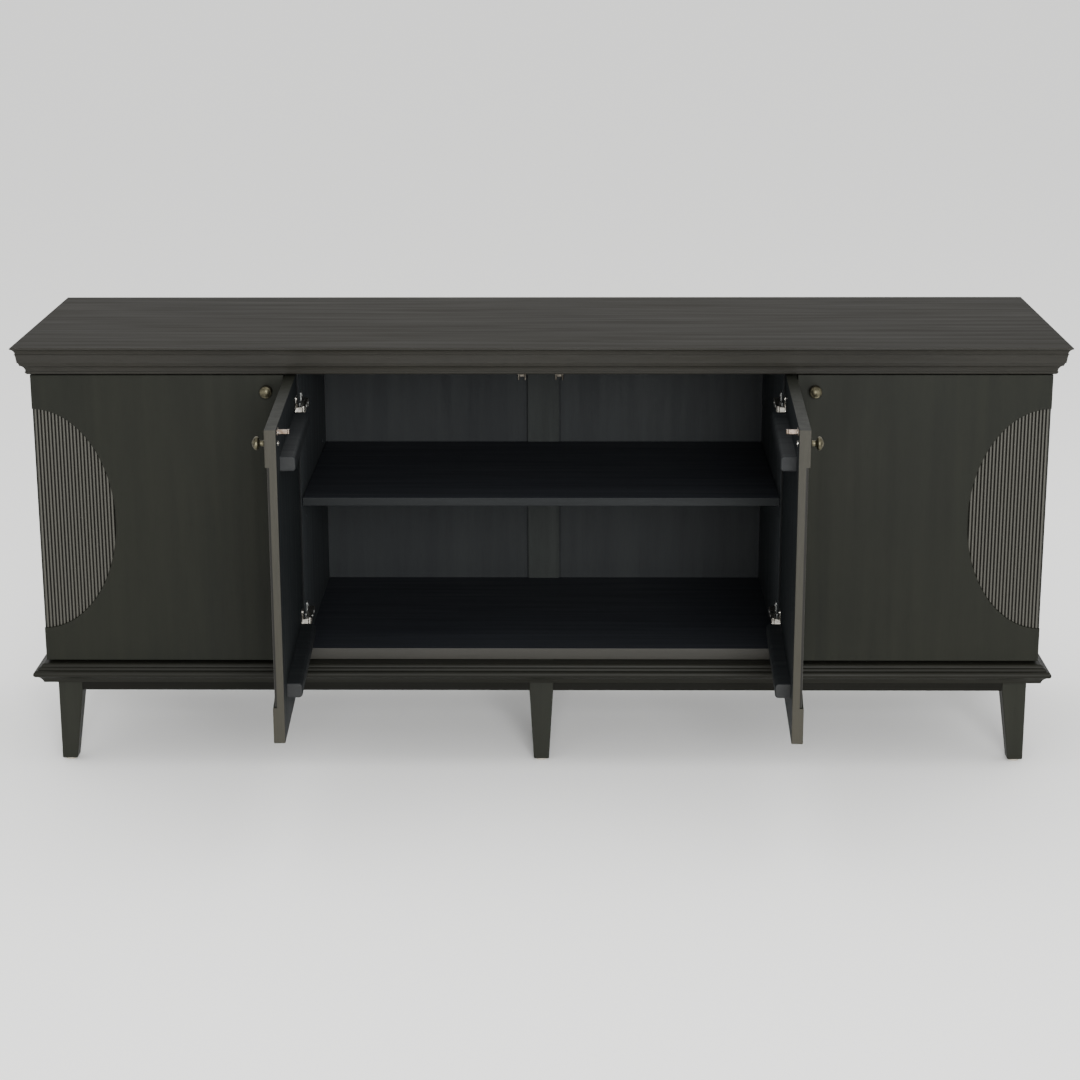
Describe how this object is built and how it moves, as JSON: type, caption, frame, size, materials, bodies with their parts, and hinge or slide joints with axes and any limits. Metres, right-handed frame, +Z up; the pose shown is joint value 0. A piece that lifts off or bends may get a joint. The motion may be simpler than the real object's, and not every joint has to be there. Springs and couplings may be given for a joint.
{
  "type": "sideboard buffet",
  "caption": "Long dark-stained sideboard: moulded top and base, hinged doors with reeded half-oval inlays, shelved bays and tapered legs.",
  "frame": {"origin": "on the floor, under the centre of the whole object's box with its two inner doors standing open", "axes": "+X along the width to the right seen from the front, +Y to the back, +Z up"},
  "size_m": [1.829, 0.9114, 0.77],
  "materials": {
    "ebonised_wood": "satin lacquer over dark stain",
    "reeded_wood": "satin lacquer over dark stain",
    "case_wood": "matte dark stain",
    "back_sheet": "matte dark stain on plywood",
    "antique_brass": "aged, burnished",
    "catch_brass": "bright",
    "nickel_plate": "bright nickel plate",
    "glide_nylon": "matte"
  },
  "bodies": {
    "carcass": {"apron_rails": "ebonised_wood", "back_panels": "back_sheet", "back_stile": "case_wood", "base_moulding_front": "ebonised_wood", "base_moulding_left": "ebonised_wood", "base_moulding_right": "ebonised_wood", "bottom_panel": "case_wood", "crown_moulding_front": "ebonised_wood", "crown_moulding_left": "ebonised_wood", "crown_moulding_right": "ebonised_wood", "door_catches": "catch_brass", "front_rails": "case_wood", "hinge_arms": "nickel_plate", "hinge_plates": "nickel_plate", "leg_front_centre": "ebonised_wood", "leg_front_left": "ebonised_wood", "leg_front_right": "ebonised_wood", "leg_glides": "glide_nylon", "legs_rear": "ebonised_wood", "partition_left": "case_wood", "partition_right": "case_wood", "shelf_centre": "case_wood", "shelf_left": "case_wood", "shelf_pins": "nickel_plate", "shelf_right": "case_wood", "side_panel_left": "ebonised_wood", "side_panel_right": "ebonised_wood", "top_board": "ebonised_wood"},
    "outer_left_door": {"outer_left_battens": "ebonised_wood", "outer_left_catch_strike": "catch_brass", "outer_left_door_panel": "ebonised_wood", "outer_left_door_screws": "nickel_plate", "outer_left_hinge_cups": "nickel_plate", "outer_left_knob": "antique_brass", "outer_left_reeded_inlay": "reeded_wood"},
    "outer_left_links": {"outer_left_hinge_links": "nickel_plate"},
    "inner_left_door": {"inner_left_battens": "ebonised_wood", "inner_left_catch_strike": "catch_brass", "inner_left_door_panel": "ebonised_wood", "inner_left_door_screws": "nickel_plate", "inner_left_hinge_cups": "nickel_plate", "inner_left_knob": "antique_brass", "inner_left_reeded_inlay": "reeded_wood"},
    "inner_left_links": {"inner_left_hinge_links": "nickel_plate"},
    "inner_right_door": {"inner_right_battens": "ebonised_wood", "inner_right_catch_strike": "catch_brass", "inner_right_door_panel": "ebonised_wood", "inner_right_door_screws": "nickel_plate", "inner_right_hinge_cups": "nickel_plate", "inner_right_knob": "antique_brass", "inner_right_reeded_inlay": "reeded_wood"},
    "inner_right_links": {"inner_right_hinge_links": "nickel_plate"},
    "outer_right_door": {"outer_right_battens": "ebonised_wood", "outer_right_catch_strike": "catch_brass", "outer_right_door_panel": "ebonised_wood", "outer_right_door_screws": "nickel_plate", "outer_right_hinge_cups": "nickel_plate", "outer_right_knob": "antique_brass", "outer_right_reeded_inlay": "reeded_wood"},
    "outer_right_links": {"outer_right_hinge_links": "nickel_plate"}
  },
  "joints": [
    {"name": "outer_left_swing", "type": "hinge", "parent": "carcass", "child": "outer_left_door", "pos_m": [-0.881, -0.02075, 0.457], "axis": [0, 0, -1], "range_deg": [0, 95]},
    {"name": "outer_left_link_turn", "type": "hinge", "parent": "carcass", "child": "outer_left_links", "pos_m": [-0.8595, -0.01575, 0.457], "axis": [0, 0, -1], "range_deg": [-39.45, 0.5]},
    {"name": "inner_left_swing", "type": "hinge", "parent": "carcass", "child": "inner_left_door", "pos_m": [-0.4365, -0.02075, 0.457], "axis": [0, 0, -1], "range_deg": [-88, 7]},
    {"name": "inner_left_link_turn", "type": "hinge", "parent": "carcass", "child": "inner_left_links", "pos_m": [-0.415, -0.01575, 0.457], "axis": [0, 0, -1], "range_deg": [-3.37, 36.58]},
    {"name": "inner_right_swing", "type": "hinge", "parent": "carcass", "child": "inner_right_door", "pos_m": [0.4365, -0.02075, 0.457], "axis": [0, 0, 1], "range_deg": [-88, 7]},
    {"name": "inner_right_link_turn", "type": "hinge", "parent": "carcass", "child": "inner_right_links", "pos_m": [0.415, -0.01575, 0.457], "axis": [0, 0, 1], "range_deg": [-3.37, 36.58]},
    {"name": "outer_right_swing", "type": "hinge", "parent": "carcass", "child": "outer_right_door", "pos_m": [0.881, -0.02075, 0.457], "axis": [0, 0, 1], "range_deg": [0, 95]},
    {"name": "outer_right_link_turn", "type": "hinge", "parent": "carcass", "child": "outer_right_links", "pos_m": [0.8595, -0.01575, 0.457], "axis": [0, 0, 1], "range_deg": [-39.45, 0.5]}
  ],
  "couplings": [
    {"joint": "outer_left_link_turn", "follows": "outer_left_swing", "ratio": -0.41},
    {"joint": "inner_left_link_turn", "follows": "inner_left_swing", "ratio": -0.41},
    {"joint": "inner_right_link_turn", "follows": "inner_right_swing", "ratio": -0.41},
    {"joint": "outer_right_link_turn", "follows": "outer_right_swing", "ratio": -0.41}
  ]
}
